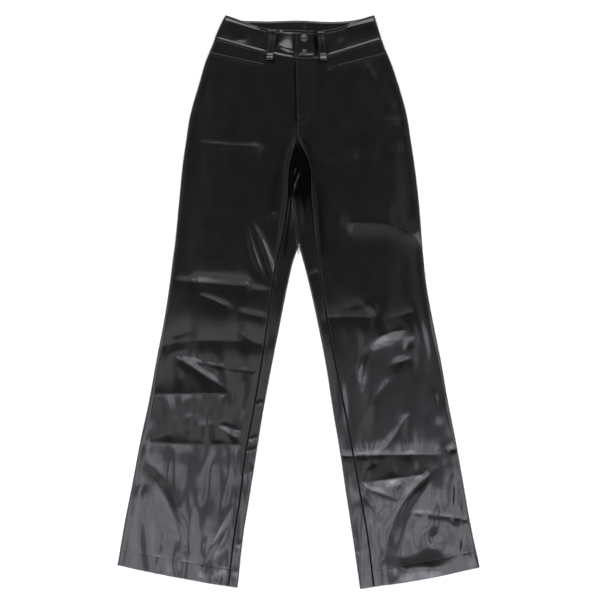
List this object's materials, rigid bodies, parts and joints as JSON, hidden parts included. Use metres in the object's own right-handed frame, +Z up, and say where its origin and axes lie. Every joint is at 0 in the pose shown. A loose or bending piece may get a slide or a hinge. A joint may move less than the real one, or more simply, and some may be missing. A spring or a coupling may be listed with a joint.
{
  "type": "leather trousers laid flat",
  "caption": "High-waist black leather trousers laid flat, front up, with a snapped waistband, fly, hip pockets, belt loops and straight, slightly flared legs.",
  "frame": {"origin": "middle of the lay, on the surface that the underside rests on", "axes": "+Y from the hems to the waist, +X to the wearer's left, +Z up through the front"},
  "size_m": [0.6956, 1.1008, 0.0153],
  "materials": {
    "leather": "glossy coated",
    "snap_metal": "gloss",
    "thread_and_tape": "matte"
  },
  "bodies": {
    "root": {"front_right": "leather", "front_left": "leather", "back_right": "leather", "back_left": "leather", "pocket_facing_right": "leather", "pocket_facing_left": "leather", "waistband_front_right": "leather", "waistband_front_left": "leather", "waistband_back_right": "leather", "waistband_back_left": "leather", "belt_loop_front_right": "leather", "belt_loop_front_left": "leather", "belt_loop_back_right": "leather", "belt_loop_back_centre": "leather", "belt_loop_back_left": "leather", "snap_upper": "snap_metal", "snap_lower": "snap_metal", "fly_zip": "thread_and_tape"}
  },
  "joints": []
}
